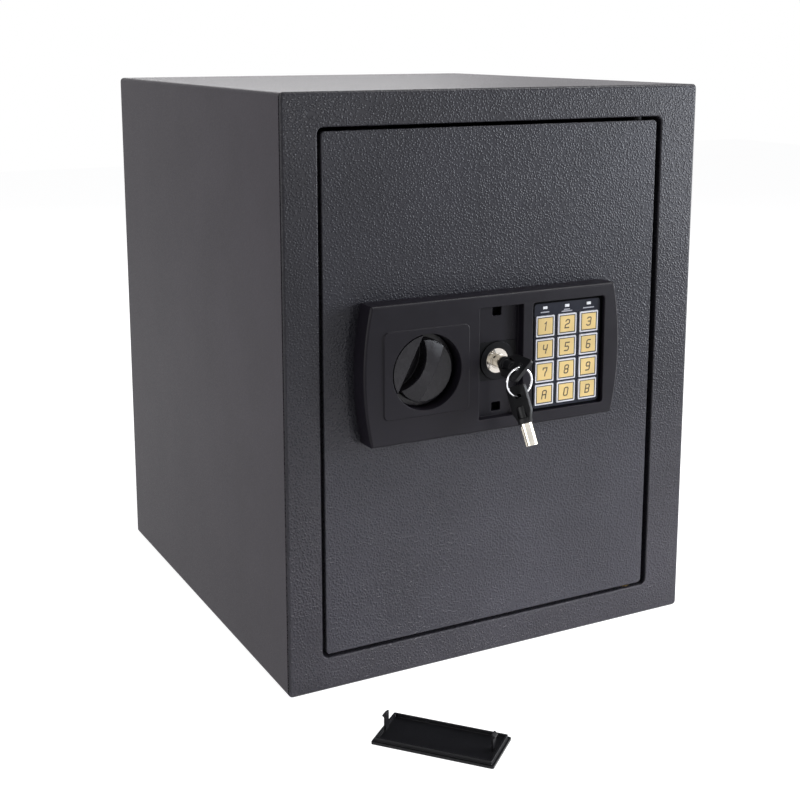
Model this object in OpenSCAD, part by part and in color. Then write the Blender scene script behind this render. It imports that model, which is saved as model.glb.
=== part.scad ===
// Electronic safe with a moulded control panel, a knob-driven bolt carriage and an emergency key lock.
// Origin at the middle of the base's underside, +Z up, the door faces -Y.

/* [Cabinet] */
// Outside width
body_w = 366; // [340:1:420]
// Outside depth, without the control panel
body_d = 388; // [340:1:440]
// Outside height
body_h = 450; // [430:1:520]
// Thickness of the cabinet's steel sheet
sheet_t = 2; // [1.5:0.5:3]
// Outside radius of the cabinet's long bends
bend_r = 3.5; // [3.2:0.1:6]
// Thickness of the front frame
frame_t = 3; // [2.8:0.1:3.2]
// Rounding of the frame's outer front edge
front_round = 2.4; // [0.8:0.2:2.6]
// Depth of the frame's returns behind the front face
return_depth = 46; // [44:1:54]
// Frame width on the latch side
margin_latch = 28; // [26:1:34]
// Frame width on the hinge side
margin_hinge = 35; // [30:1:40]
// Frame width above the door
margin_top = 25; // [22:1:32]
// Frame width below the door
margin_bottom = 26; // [22:1:32]
// Corner radius of the door opening
opening_r = 5; // [3:0.5:7]

/* [Door] */
// Thickness of the door plate
door_t = 5; // [4:0.5:5.5]
// Gap on the latch side, above and below the door
door_gap = 2.8; // [2:0.2:4]
// Gap on the hinge side, where the edge swings
door_gap_hinge = 5; // [4.5:0.1:7]
// Corner radius of the door plate
door_r = 3; // [1.5:0.5:5]
// Distance of the hinge axis from the door's edge
hinge_inset = 12; // [11:0.5:14]
// Distance of the hinge axis behind the front face
hinge_back = 10.5; // [10.4:0.1:10.8]
// Radius of the hinge pins
hinge_pin_r = 4; // [3:0.5:4]
// Running clearance of shafts in their bearings
fit = 0.05; // [0.02:0.01:0.08]

/* [Locking bolts] */
// Radius of the locking bolts
bolt_r = 9; // [7:0.5:9.5]
// Distance between the two bolts
bolt_spacing = 110; // [100:1:130]
// Travel of the bolts
bolt_travel = 15; // [10:0.5:16]
// Crank radius of the spindle's lever
crank_r = 14.5; // [13:0.5:15]
// Thickness of the carriage plate
carriage_t = 2.5; // [2:0.5:3]

/* [Control panel] */
// Greatest width, across the bowed ends
panel_w = 227; // [222:1:234]
// Height
panel_h = 106; // [102:1:116]
// Projection from the door
panel_proud = 18; // [17.5:0.5:22]
// Rise of each bowed end
panel_bow = 6; // [3:0.5:8]
// Wall of the moulding
panel_wall = 2.5; // [2:0.1:2.6]
// Chamfer round the front edge
panel_edge = 1.4; // [0.8:0.1:2]
// Panel centre from the door's latch edge
panel_from_latch = 137.4; // [132:0.2:142]
// Panel centre from the door's bottom edge
panel_from_bottom = 215.2; // [200:0.1:225]
// Width of the raised pad round the knob
pad_w = 72; // [68:1:76]
// Height of the raised pad round the knob
pad_h = 66; // [64:1:72]
// Rise of the pad
pad_proud = 1.2; // [0.6:0.1:1.4]

/* [Knob] */
// Knob axis from the panel's centre, towards the latch
knob_offset = 61.8; // [60:0.2:64]
// Radius of the knob's recess
knob_recess_r = 28.9; // [28:0.1:30]
// Depth of the knob's recess
knob_recess_depth = 13; // [12:0.5:13.5]
// Radius of the knob's body
knob_r = 24; // [22:0.5:25]
// Lean of the grip from the vertical, as the knob rests
knob_lean = 27; // [20:1:35]
// Grip edge on the straight side, from the axis
grip_edge = 6; // [5:0.5:8]
// Narrowest reach of the grip on the hollow side, from the axis
grip_waist = 3.7; // [3:0.1:5]
// Radius of the arch along the grip's face
grip_arch = 72; // [66:1:120]
// Radius of the finger hollow's curved wall
hollow_r = 29; // [27:0.5:32]
// Depth of the knob's disc behind the panel's face
knob_step = 5; // [4:0.5:6]
// Radius of the spindle
spindle_r = 5; // [4.5:0.1:5.5]

/* [Emergency lock] */
// Lock axis from the panel's centre, towards the hinges
lock_offset = 3; // [2:0.2:4]
// Width of the lock's recess
lock_recess_w = 38.8; // [38:0.2:40]
// Height of the lock's recess
lock_recess_h = 86.7; // [84:0.1:90]
// Depth of the lock's recess
lock_recess_depth = 7.5; // [6.5:0.5:8]
// Radius of the lock's round face
lock_face_r = 9.75; // [9:0.05:10.5]
// Radius of the lock's threaded body
lock_body_r = 8; // [7.5:0.1:8.5]
// Radius of the black collar
collar_r = 15; // [14:0.5:16]
// Radius of the turning plug
plug_r = 5.8; // [5.6:0.1:6.2]
// Outside radius of the tubular key
key_tube_r = 4.8; // [4.6:0.1:4.9]
// Length of the key's tube outside its head
key_tube_l = 17; // [15:0.5:18]
// Width of the key's head at its end
key_head_w = 20.5; // [18:0.5:20.5]
// Length of the key's head
key_head_l = 29; // [26:0.5:32]
// Thickness of the key's head
key_head_t = 2.8; // [2.4:0.1:3]
// Centre-line radius of the key ring
ring_r = 10.8; // [10.8:0.2:13]
// Radius of the ring's wire
ring_wire_r = 0.8; // [0.6:0.1:0.9]
// Lean of the hanging key from the vertical
spare_lean = 24; // [10:1:30]

/* [Keypad] */
// Keypad centre from the panel's centre, towards the hinges
keypad_offset = 64.7; // [63:0.1:66]
// Width of the keypad's window
window_w = 67.2; // [66:0.2:69]
// Height of the keypad's window
window_h = 86.7; // [86:0.1:90]
// Depth of the keypad behind the panel's face
window_depth = 3.5; // [3.2:0.1:4.5]
// Width of a key
button_w = 17.2; // [15:0.1:19]
// Height of a key
button_h = 16.5; // [14:0.1:17]
// Key spacing across
pitch_x = 20.5; // [19.8:0.1:21]
// Key spacing down
pitch_z = 18.2; // [17.6:0.1:19]
// Middle of the top row below the window's top edge
first_row = 20; // [19:0.5:22]
// Rise of the keys above the keypad plate
button_proud = 1; // [0.6:0.1:1.5]
// Travel of a key
button_travel = 0.5; // [0.3:0.1:0.5]
// Gap round a key
button_gap = 0.2; // [0.1:0.05:0.4]

/* [Lock case inside the door] */
// Case edge from the door's latch edge
case_from_latch = 9.2; // [8.5:0.1:10]
// Case edge from the door's hinge edge
case_from_hinge = 26; // [24:1:40]
// Height of the case
case_h = 276; // [270:1:290]
// Middle of the case above the door's middle
case_rise = 18.5; // [13:0.5:23]
// Depth of the case behind the door plate
case_d = 42; // [40:1:44]
// Sheet of the case
case_t = 1.2; // [1:0.1:1.6]
// Radius of a battery cell
cell_r = 7.1; // [6.9:0.05:7.2]
// Length of a battery cell
cell_l = 50.5; // [48:0.5:52]

/* [Inside the cabinet] */
// Height of the shelf's underside
shelf_z = 226; // [180:1:260]
// Thickness of the shelf's sheet
shelf_t = 1.5; // [1:0.1:2]
// Depth of the shelf's folded edge
shelf_lip = 14; // [10:1:18]
// Thickness of the floor mat
mat_t = 3; // [2:0.5:5]
// Radius of the anchor holes
anchor_r = 6; // [5:0.5:7]
// Spacing of the base's anchor holes across
anchor_x = 220; // [160:5:260]
// Spacing of the base's anchor holes front to back
anchor_y = 200; // [140:5:240]
// Spacing of the two anchor holes in the back
anchor_back = 200; // [140:5:260]
// Height of the two anchor holes in the back
anchor_back_z = 330; // [300:5:380]

/* [Loose cover] */
// Overlap of the cover's plate round the lock's recess
cover_lip = 1.7; // [1:0.1:2.5]
// Thickness of the cover's plate
cover_t = 2; // [1.5:0.1:2.5]
// Height of the rim
cover_rim = 2.6; // [2:0.1:5.5]
// Place of the cover on the floor, across
cover_x = -112.4; // [-125:1:-100]
// Place of the cover on the floor, in front of the door
cover_y = 105.8; // [92:1:130]
// Turn of the cover on the floor
cover_turn = -49.1; // [-55:1:-45]

/* [Hidden] */
$fn = 48;

seat = 0.3;
front = -body_d / 2;
back = body_d / 2;

// Door opening, in the plane of the front face
open_x0 = -body_w / 2 + margin_latch;
open_x1 = body_w / 2 - margin_hinge;
open_z0 = margin_bottom;
open_z1 = body_h - margin_top;
open_w = open_x1 - open_x0;
open_h = open_z1 - open_z0;

// Door plate and hinge axis
door_x0 = open_x0 + door_gap;
door_x1 = open_x1 - door_gap_hinge;
door_z0 = open_z0 + door_gap;
door_z1 = open_z1 - door_gap;
door_w = door_x1 - door_x0;
door_h = door_z1 - door_z0;
door_back = front + door_t;
hinge_x = door_x1 - hinge_inset;
hinge_y = front + hinge_back;
bush_r = hinge_pin_r + 2;
bush_flange_r = hinge_back - frame_t - 0.4;
bracket_t = 6;
bracket_drop = 12;
bracket_in = 14;
bracket_out = 8;
bracket_leg = 30;
bracket_leg_t = 4;
pin_reach = 7;
pin_stub = 0.7;
bush_flange_t = 1.5;

// Control panel
panel_x = door_x0 + panel_from_latch;
panel_z = door_z0 + panel_from_bottom;
panel_front = front - panel_proud;
panel_inside = panel_front + panel_wall;
panel_end_r = (pow(panel_h / 2, 2) + pow(panel_bow, 2)) / (2 * panel_bow);
boss_x = panel_w / 2 - 7.5;
boss_z = 30;
boss_r = 4;
rib_t = 1.6;
rib_gap = 6;
screw_r = 2;
screw_head_r = 4;
screw_head_t = 2.2;
screw_grip = 8;
knob_x = panel_x - knob_offset;

// Bolt carriage, behind the door plate
carriage_y = door_back + 3;
carriage_flange = bolt_travel + 2;
bolt_y = door_back + 13;
bolt_hole_gap = 0.3;
bolt_end = door_x0 + 2.2;
case_x0 = door_x0 + case_from_latch;
case_x1 = max(door_x1 - case_from_hinge, panel_x + boss_x + screw_head_r + case_t + seat);
case_z = (door_z0 + door_z1) / 2 + case_rise;
case_z0 = case_z - case_h / 2;
case_z1 = case_z + case_h / 2;
case_r = 4;
flange_h = 10;
stop_w = 7;
stop_t = 2;
flange_in = 4;
case_screw_in = 14;
flange_x0 = case_x0 + flange_in;
flange_x1 = min(case_x1 - flange_in, hinge_x - bracket_in - seat);
case_back = door_back + case_d;
carriage_x = case_x0 + case_t + carriage_flange;
web_z = bolt_spacing / 2 + 25;
stud_r = 4;
stud_x = carriage_x + 5 * stud_r;
stud_z = web_z - 14;
web_x1 = max(knob_x + 2, stud_x + bolt_travel + stud_r + 3);
tongue_x1 = knob_x + 43.6;
tongue_top = 12;
tongue_mid_x = knob_x + bolt_travel + 12.6;

// Knob and spindle
knob_floor = panel_front + knob_recess_depth;
knob_front = panel_front - pad_proud + 0.2;
knob_base_r = knob_recess_r - 0.7;
knob_base_t = 2.2;
knob_base_front = knob_floor - seat - knob_base_t;
knob_back = knob_floor - seat;
segment_edge = sqrt(pow(knob_recess_r, 2) - pow(knob_r - 0.1, 2));
crank_t = 3;
crank_y = carriage_y + carriage_t + 0.7;
crank_pin_r = 2.5;
crank_turn = asin(bolt_travel / 2 / crank_r);
spindle_square = 7;

// Solenoid and plunger
plunger_x = tongue_x1 - 10;
plunger_r = 4;
plunger_y = carriage_y + 4;
plunger_z = panel_z + tongue_top + seat;
plunger_lift = 5;
collar_z = plunger_z + 6;
collar_t = 2;
spring_l = 12;
solenoid_z = collar_z + collar_t + spring_l;
solenoid_w = 26;
solenoid_h = 36;

// Emergency lock
lock_x = panel_x + lock_offset;
lock_z = panel_z;
lock_floor = panel_front + lock_recess_depth;
lock_face = lock_floor - 1.5;
plug_front = lock_face - seat;
lock_rear = door_back + 12;
lock_nut_t = 4;
cam_y = lock_rear + 1.7;
cam_t = 2.5;
cam_r0 = 12;
cam_rise = plunger_lift;
cam_lead = 8;
cam_gap = 0.4;
keyway_depth = 8.5;
pit_r = plug_r + 1;
pit_w = 1.6;
pit_t = 0.8;
clip_slot_w = 7.6;
top_slot_h = 8;
bottom_slot_h = 6.6;
top_slot_z = lock_recess_h / 2 - top_slot_h / 2 - 0.2;
bottom_slot_z = -lock_recess_h / 2 + 3.5 + bottom_slot_h / 2;

// Keys
key_bore_r = 3.3;
key_tang_r = 2.5;
key_tang_l = 12;
key_hole_back = 8;
key_hole_side = 1.2;
key_hole_w = 7.2;
key_hole_gap = 0.6;
key_shoulder = 9;
key_corner = 2;
key_groove_w = 1.8;
key_groove_t = 0.6;
key_tip = key_tube_l + key_head_l - key_hole_back;
ring_y = plug_front + keyway_depth - seat - key_tip;
ring_x = lock_x + key_hole_side * cos(45);
ring_top = lock_z + key_hole_side * sin(45);

// Keypad
keypad_x = panel_x + keypad_offset;
plate_front = panel_front + window_depth;
plate_t = 2;
plate_overlap = 2;
button_r = 0.8;
board_front = plate_front + plate_t + button_travel + 0.1;
board_t = 1.6;
board_plug_d = 4;
window_top = panel_z + window_h / 2;

// Battery box, inside the case
cell_pitch = 2 * cell_r + 1;
box_in_w = 4 * cell_pitch + 0.8;
box_in_h = cell_l + 4;
box_wall = 1.6;
box_x = case_x1 - 52;
box_z = panel_z - 72;
box_rim = case_back - case_t - seat;
box_floor = box_rim - 2 * cell_r - 1.6;
hatch_w = box_in_w - 2;
hatch_h = box_in_h - 2;
cover_plate_t = 1.8;

// Reset switch, inside the case
reset_x = case_x1 - 16;
reset_z = panel_z + 62;
reset_r = 3;
reset_travel = 2;
reset_half = 6;

// Shelf ledges
ledge_w = 12;
ledge_h = 20;
ledge_t = 2;

// Wiring
cable_offset = 12;
cable_x = keypad_x + cable_offset;
cable_z = panel_z;
grommet_r = 8;
wire_r = 1.4;
lead_side = 2.8;
lead_rise = 1.2;
lead_gap = 0.25;

// Loose cover
cover_w = lock_recess_h + 2 * cover_lip;
cover_h = lock_recess_w + 2 * cover_lip;
rim_w = lock_recess_h - 0.4;
rim_h = lock_recess_w - 0.4;
rim_t = 1.5;
hook_z = cover_t + lock_recess_depth + panel_wall - 0.3;

// Points of an arc
function arc(cx, cy, r, a0, a1, n) =
    [for (i = [0:n]) let (a = a0 + (a1 - a0) * i / n) [cx + r * cos(a), cy + r * sin(a)]];

// Outline of a rectangle with rounded corners
function rounded(w, h, r, n = 5) = concat(
    arc(w / 2 - r, h / 2 - r, r, 0, 90, n), arc(-w / 2 + r, h / 2 - r, r, 90, 180, n),
    arc(-w / 2 + r, -h / 2 + r, r, 180, 270, n), arc(w / 2 - r, -h / 2 + r, r, 270, 360, n));

// Outline of the control panel: straight above and below, bowed at both ends, drawn in by inset
function panel_outline(inset, n = 14) =
    let (r = panel_end_r - inset, c = panel_w / 2 - panel_end_r, a = asin((panel_h / 2 - inset) / r))
    concat(arc(c, 0, r, -a, a, n), arc(-c, 0, r, 180 - a, 180 + a, n));

// Extrudes a shape drawn as seen from the front, from y0 back to y1
module along_y(y0, y1) {
    translate([0, y1, 0]) rotate([90, 0, 0]) linear_extrude(y1 - y0) children();
}

module rod_y(x, z, y0, y1, r) {
    translate([x, y0, z]) rotate([-90, 0, 0]) cylinder(h = y1 - y0, r = r);
}

module rod_x(y, z, x0, x1, r) {
    translate([x0, y, z]) rotate([0, 90, 0]) cylinder(h = x1 - x0, r = r);
}

module block(x0, x1, y0, y1, z0, z1) {
    translate([x0, y0, z0]) cube([x1 - x0, y1 - y0, z1 - z0]);
}

// Rounded plate seen from the front, centred on x, z
module plate_y(x, z, w, h, r, y0, y1) {
    along_y(y0, y1) translate([x, z]) polygon(rounded(w, h, r));
}

module opening_shape(grow) {
    translate([(open_x0 + open_x1) / 2, (open_z0 + open_z1) / 2])
        polygon(rounded(open_w + 2 * grow, open_h + 2 * grow, opening_r + grow));
}

module body_shape(inset) {
    translate([0, body_h / 2]) polygon(rounded(body_w - 2 * inset, body_h - 2 * inset, bend_r - inset));
}

module each_bolt() {
    for (s = [-1, 1]) translate([0, 0, panel_z + s * bolt_spacing / 2]) children();
}

// Tube swept along points, with rings square to the path
function unit(v) = v / norm(v);
function sweep_dir(p, i) = unit(p[min(i + 1, len(p) - 1)] - p[max(i - 1, 0)]);
function sweep_side(d) = unit(cross(d, abs(d[2]) < 0.9 ? [0, 0, 1] : [0, 1, 0]));
module sweep(p, r, sides = 8) {
    rings = [for (i = [0:len(p) - 1])
        let (d = sweep_dir(p, i), u = sweep_side(d), v = cross(d, u))
        for (k = [0:sides - 1]) let (a = 360 * k / sides) p[i] + r * (cos(a) * u + sin(a) * v)];
    last = (len(p) - 1) * sides;
    polyhedron(rings, concat(
        [for (k = [1:sides - 2]) [0, k, k + 1]],
        [for (k = [1:sides - 2]) [last, last + k + 1, last + k]],
        [for (i = [0:len(p) - 2]) for (k = [0:sides - 1])
            [i * sides + k, (i + 1) * sides + k, (i + 1) * sides + (k + 1) % sides]],
        [for (i = [0:len(p) - 2]) for (k = [0:sides - 1])
            [i * sides + k, (i + 1) * sides + (k + 1) % sides, i * sides + (k + 1) % sides]]));
}

module cabinet_shell() {
    color("#4b4b50") difference() {
        along_y(front + frame_t, back) difference() {
            body_shape(0);
            body_shape(sheet_t);
        }
        for (x = [-1, 1], y = [-1, 1])
            translate([x * anchor_x / 2, y * anchor_y / 2, -1]) cylinder(h = sheet_t + 2, r = anchor_r);
    }
}

module back_panel() {
    color("#4b4b50") difference() {
        along_y(back - sheet_t, back) body_shape(sheet_t);
        for (x = [-1, 1])
            rod_y(x * anchor_back / 2, anchor_back_z, back - sheet_t - 1, back + 1, anchor_r);
    }
}

module front_frame() {
    color("#505056") difference() {
        union() {
            difference() {
                hull() {
                    along_y(front + front_round, front + frame_t) body_shape(0);
                    for (a = [0:22.5:67.5]) along_y(front + front_round * (1 - cos(a)), front + front_round)
                        body_shape(front_round * (1 - sin(a)));
                }
                along_y(front - 1, front + frame_t + 1) opening_shape(0);
            }
            along_y(front + frame_t, front + return_depth) difference() {
                opening_shape(sheet_t);
                opening_shape(0);
            }
            block(open_x0 - 1, open_x0 + stop_w, door_back + seat, door_back + seat + stop_t,
                  open_z0 + opening_r, open_z1 - opening_r);
        }
        each_bolt() rod_x(bolt_y, 0, open_x0 - sheet_t - 1, open_x0 + 1, bolt_r + 1);
        for (z = [open_z0 - sheet_t - 1, open_z1 - 1])
            translate([hinge_x, hinge_y, z]) cylinder(h = sheet_t + 2, r = bush_r);
    }
}

// The bush stands in the frame's return, its flange on the far side
module hinge_bush() {
    difference() {
        union() {
            cylinder(h = pin_reach + 1, r = bush_r);
            translate([0, 0, sheet_t]) cylinder(h = bush_flange_t, r = bush_flange_r);
        }
        translate([0, 0, -1]) cylinder(h = pin_reach + 3, r = hinge_pin_r + fit);
    }
}

module hinge_bushes() {
    color("#b08d57") {
        translate([hinge_x, hinge_y, open_z1]) hinge_bush();
        translate([hinge_x, hinge_y, open_z0]) mirror([0, 0, 1]) hinge_bush();
    }
}

module bolt_keeper() {
    plate_h = bolt_spacing + 60;
    color("#77777c") difference() {
        block(open_x0 - sheet_t - 4, open_x0 - sheet_t, front + frame_t, front + return_depth - 3,
              panel_z - plate_h / 2, panel_z + plate_h / 2);
        each_bolt() rod_x(bolt_y, 0, open_x0 - sheet_t - 5, open_x0, bolt_r + 0.6);
    }
}

module shelf_ledges() {
    wall_x = body_w / 2 - sheet_t;
    y0 = front + 2 * return_depth;
    y1 = back - ledge_h;
    color("#4b4b50") for (s = [0, 1]) mirror([s, 0, 0]) {
        block(wall_x - ledge_w, wall_x, y0, y1, shelf_z - ledge_t, shelf_z);
        block(wall_x - ledge_t, wall_x, y0, y1, shelf_z - ledge_h, shelf_z - ledge_t);
    }
}

module shelf() {
    half = body_w / 2 - sheet_t - 1;
    y0 = front + return_depth + 24;
    y1 = back - sheet_t - 2;
    color("#56565c") {
        block(-half, half, y0, y1, shelf_z, shelf_z + shelf_t);
        block(-half + 16, half - 16, y0, y0 + shelf_t, shelf_z - shelf_lip, shelf_z);
        block(-half + 16, half - 16, y0 + shelf_t, y0 + 8, shelf_z - shelf_lip, shelf_z - shelf_lip + shelf_t);
    }
}

module floor_mat() {
    color("#2d2d30") difference() {
        block(-body_w / 2 + sheet_t + 2, body_w / 2 - sheet_t - 2, front + return_depth + 2,
              back - sheet_t - 2, sheet_t, sheet_t + mat_t);
        for (x = [-1, 1], y = [-1, 1])
            translate([x * anchor_x / 2, y * anchor_y / 2, 0])
                cylinder(h = sheet_t + mat_t + 1, r = anchor_r + 3);
    }
}

module door_plate() {
    color("#55555b") difference() {
        plate_y((door_x0 + door_x1) / 2, (door_z0 + door_z1) / 2, door_w, door_h, door_r, front, door_back);
        rod_y(knob_x, panel_z, front - 1, door_back + 1, spindle_r + 3);
        rod_y(lock_x, lock_z, front - 1, door_back + 1, lock_body_r + 0.5);
        rod_y(cable_x, cable_z, front - 1, door_back + 1, grommet_r);
        for (x = [-1, 1], z = [-1, 1])
            rod_y(panel_x + x * boss_x, panel_z + z * boss_z, front - 1, door_back + 1, screw_r + 0.3);
        each_case_screw() rod_y(0, 0, front + 1.5, door_back + 1, screw_r + fit);
    }
}

module each_hinge_end() {
    translate([hinge_x, hinge_y, door_z1]) children();
    translate([hinge_x, hinge_y, door_z0]) mirror([0, 0, 1]) children();
}

module hinge_brackets() {
    leg = hinge_back - door_t;
    color("#77777c") each_hinge_end() difference() {
        union() {
            block(-bracket_in, bracket_out, -leg, 2 * hinge_pin_r, -bracket_drop, -bracket_drop + bracket_t);
            block(-bracket_in, bracket_out, -leg, bracket_leg_t - leg,
                  -bracket_drop - bracket_leg, -bracket_drop);
        }
        translate([0, 0, -bracket_drop - 1]) cylinder(h = bracket_t + 2, r = hinge_pin_r);
    }
}

module hinge_pins() {
    color("#9a9aa0") each_hinge_end()
        translate([0, 0, -bracket_drop - pin_stub])
            cylinder(h = bracket_drop + pin_stub + door_gap + pin_reach, r = hinge_pin_r);
}

module each_case_screw() {
    for (s = [-1, 1], i = [0:2])
        translate([flange_x0 + case_screw_in + i * (flange_x1 - flange_x0 - 2 * case_screw_in) / 2, 0,
                   case_z + s * (case_h + flange_h) / 2]) children();
}

module lock_case() {
    mid_x = (case_x0 + case_x1) / 2;
    case_w = case_x1 - case_x0;
    color("#4b4b50") difference() {
        union() {
            plate_y(mid_x, case_z, case_w, case_h, case_r, door_back, case_back);
            block(flange_x0, flange_x1, door_back, door_back + case_t, case_z0 - flange_h, case_z0 + case_t);
            block(flange_x0, flange_x1, door_back, door_back + case_t, case_z1 - case_t, case_z1 + flange_h);
        }
        plate_y(mid_x, case_z, case_w - 2 * case_t, case_h - 2 * case_t, case_r - case_t,
                door_back - 1, case_back - case_t);
        each_bolt() rod_x(bolt_y, 0, case_x0 - 1, case_x0 + case_t + 1, bolt_r + bolt_hole_gap);
        each_case_screw() rod_y(0, 0, door_back - 1, door_back + case_t + 1, screw_r + 0.3);
        block(box_x - hatch_w / 2, box_x + hatch_w / 2, case_back - case_t - 1, case_back + 1,
              box_z - hatch_h / 2, box_z + hatch_h / 2);
        rod_y(reset_x, reset_z, case_back - case_t - 1, case_back + 1, reset_r + 0.4);
    }
}

module case_screws() {
    color("#b9b9be") each_case_screw() {
        rod_y(0, 0, front + 2, door_back + case_t, screw_r);
        rod_y(0, 0, door_back + case_t, door_back + case_t + screw_head_t, screw_head_r);
    }
}

// Cup of the knob's recess, with the spindle's bearing boss behind its floor
module knob_cup() {
    rod_y(knob_x, panel_z, panel_inside - 1, knob_floor + panel_wall, knob_recess_r + 2.1);
    rod_y(knob_x, panel_z, knob_floor, front - seat, spindle_r + 3);
}

module panel_housing() {
    pocket_w = lock_recess_w + 2 * panel_wall;
    pocket_h = lock_recess_h + 2 * panel_wall;
    rim_w2 = window_w + 2 * plate_overlap;
    rim_h2 = window_h + 2 * plate_overlap;
    color("#33313a") difference() {
        union() {
            difference() {
                union() {
                    hull() {
                        along_y(panel_front + panel_edge, panel_front + panel_edge + 1)
                            translate([panel_x, panel_z]) polygon(panel_outline(0));
                        along_y(panel_front, panel_front + 0.1)
                            translate([panel_x, panel_z]) polygon(panel_outline(panel_edge));
                    }
                    along_y(panel_front + panel_edge, front)
                        translate([panel_x, panel_z]) polygon(panel_outline(0));
                }
                along_y(panel_inside, front + 1)
                    translate([panel_x, panel_z]) polygon(panel_outline(panel_wall));
            }
            plate_y(knob_x, panel_z, pad_w, pad_h, 4, panel_front - pad_proud, panel_front + 0.5);
            knob_cup();
            plate_y(lock_x, lock_z, pocket_w, pocket_h, 1, panel_inside - 0.5, lock_floor + panel_wall);
            plate_y(keypad_x, panel_z, rim_w2, rim_h2, 2, panel_inside - 0.5, plate_front);
            for (x = [-1, 1], z = [-1, 1])
                rod_y(panel_x + x * boss_x, panel_z + z * boss_z, panel_inside - 0.5, front, boss_r);
            for (z = [-1, 1]) {
                rib_z = panel_z + z * (knob_recess_r + 9);
                block(knob_x - knob_recess_r, lock_x - pocket_w / 2 + 0.5, panel_inside - 0.5, front - rib_gap,
                      rib_z - rib_t / 2, rib_z + rib_t / 2);
            }
        }
        rod_y(knob_x, panel_z, panel_front - 3, knob_floor, knob_recess_r);
        rod_y(knob_x, panel_z, knob_floor - 1, front + 1, spindle_r + fit);
        plate_y(lock_x, lock_z, lock_recess_w, lock_recess_h, 0.8, panel_front - 3, lock_floor);
        rod_y(lock_x, lock_z, lock_floor - 1, front + 1, lock_body_r + fit);
        block(lock_x - clip_slot_w / 2, lock_x + clip_slot_w / 2, lock_floor - 1, front - 1,
              lock_z + top_slot_z - top_slot_h / 2, lock_z + top_slot_z + top_slot_h / 2);
        block(lock_x - clip_slot_w / 2, lock_x + clip_slot_w / 2, lock_floor - 1, front - 1,
              lock_z + bottom_slot_z - bottom_slot_h / 2, lock_z + bottom_slot_z + bottom_slot_h / 2);
        plate_y(keypad_x, panel_z, window_w, window_h, 2.5, panel_front - 3, plate_front + 1);
        for (x = [-1, 1], z = [-1, 1])
            rod_y(panel_x + x * boss_x, panel_z + z * boss_z, front - screw_grip - 1, front + 1, screw_r + fit);
    }
}

module panel_screws() {
    color("#b9b9be") for (x = [-1, 1], z = [-1, 1]) {
        rod_y(panel_x + x * boss_x, panel_z + z * boss_z, front - screw_grip, door_back, screw_r);
        rod_y(panel_x + x * boss_x, panel_z + z * boss_z, door_back, door_back + screw_head_t, screw_head_r);
    }
}

function button_x(i) = keypad_x + (i % 3 - 1) * pitch_x;
function button_z(i) = window_top - first_row - floor(i / 3) * pitch_z;
lamp_w = 4;
lamp_h = 2.2;
lamp_z = button_z(0) + button_h / 2 + 6.2;

module keypad_plate() {
    color("#2f3038") difference() {
        plate_y(keypad_x, panel_z, window_w + 2 * plate_overlap - 0.2, window_h + 2 * plate_overlap - 0.2, 1.5,
                plate_front, plate_front + plate_t);
        for (i = [0:11])
            plate_y(button_x(i), button_z(i), button_w + 2 * button_gap, button_h + 2 * button_gap, button_r,
                    plate_front - 1, plate_front + plate_t + 1);
        for (i = [0:2])
            block(button_x(i) - lamp_w / 2 - 0.1, button_x(i) + lamp_w / 2 + 0.1, plate_front - 1,
                  plate_front + plate_t + 1, lamp_z - lamp_h / 2 - 0.1, lamp_z + lamp_h / 2 + 0.1);
    }
}

module keypad_button(i) {
    color("#eed9a0")
        plate_y(button_x(i), button_z(i), button_w, button_h, button_r,
                plate_front - button_proud, plate_front + plate_t);
}

module lamp_windows() {
    color("white") for (i = [0:2])
        block(button_x(i) - lamp_w / 2, button_x(i) + lamp_w / 2, plate_front - 0.3, plate_front + plate_t,
              lamp_z - lamp_h / 2, lamp_z + lamp_h / 2);
}

module circuit_board() {
    board_back = board_front + board_t;
    color("#2c6b45") {
        block(keypad_x - window_w / 2, keypad_x + window_w / 2, board_front, board_back,
              panel_z - window_h / 2, panel_z + window_h / 2);
        block(keypad_x - 22, keypad_x - 12, board_back, board_back + 2, panel_z + 10, panel_z + 20);
        block(cable_x - 5, cable_x + 5, board_back, board_back + board_plug_d, cable_z - 4, cable_z + 4);
        rod_y(keypad_x - 15, panel_z - 22, board_back, board_back + 5, 6);
    }
}

module lock_collar() {
    color("#17171a") difference() {
        union() {
            rod_y(lock_x, lock_z, lock_floor - 2, lock_floor, collar_r);
            plate_y(lock_x, lock_z, 2 * collar_r + 4, 2 * collar_r, 1, lock_floor - 0.5, lock_floor);
        }
        rod_y(lock_x, lock_z, lock_floor - 3, lock_floor + 1, lock_face_r + 0.1);
    }
}

module lock_body() {
    color("#c9cbd0") difference() {
        union() {
            rod_y(lock_x, lock_z, lock_face, lock_floor, lock_face_r);
            rod_y(lock_x, lock_z, lock_floor, lock_rear, lock_body_r);
        }
        rod_y(lock_x, lock_z, lock_face - 1, lock_rear + 1, plug_r + fit);
        translate([lock_x, 0, lock_z]) rotate([0, -30, 0])
            block(-pit_w / 2, pit_w / 2, lock_face - 1, lock_face + pit_t, pit_r, pit_r + pit_w);
    }
}

module lock_nut() {
    color("#9a9aa0") difference() {
        translate([lock_x, door_back, lock_z]) rotate([-90, 0, 0])
            cylinder(h = lock_nut_t, r = lock_body_r + 4.5, $fn = 6);
        rod_y(lock_x, lock_z, door_back - 1, door_back + lock_nut_t + 1, lock_body_r + fit);
    }
}

// The plug's front has a round keyway for the tubular key
module lock_plug() {
    keyway_y = plug_front + keyway_depth;
    color("#b5b7bc") difference() {
        rod_y(lock_x, lock_z, plug_front, cam_y + cam_t + 2, plug_r);
        difference() {
            rod_y(lock_x, lock_z, lock_face - 1, keyway_y, key_tube_r + 0.1);
            rod_y(lock_x, lock_z, lock_face - 2, keyway_y + 1, key_bore_r - 0.1);
        }
    }
}

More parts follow.
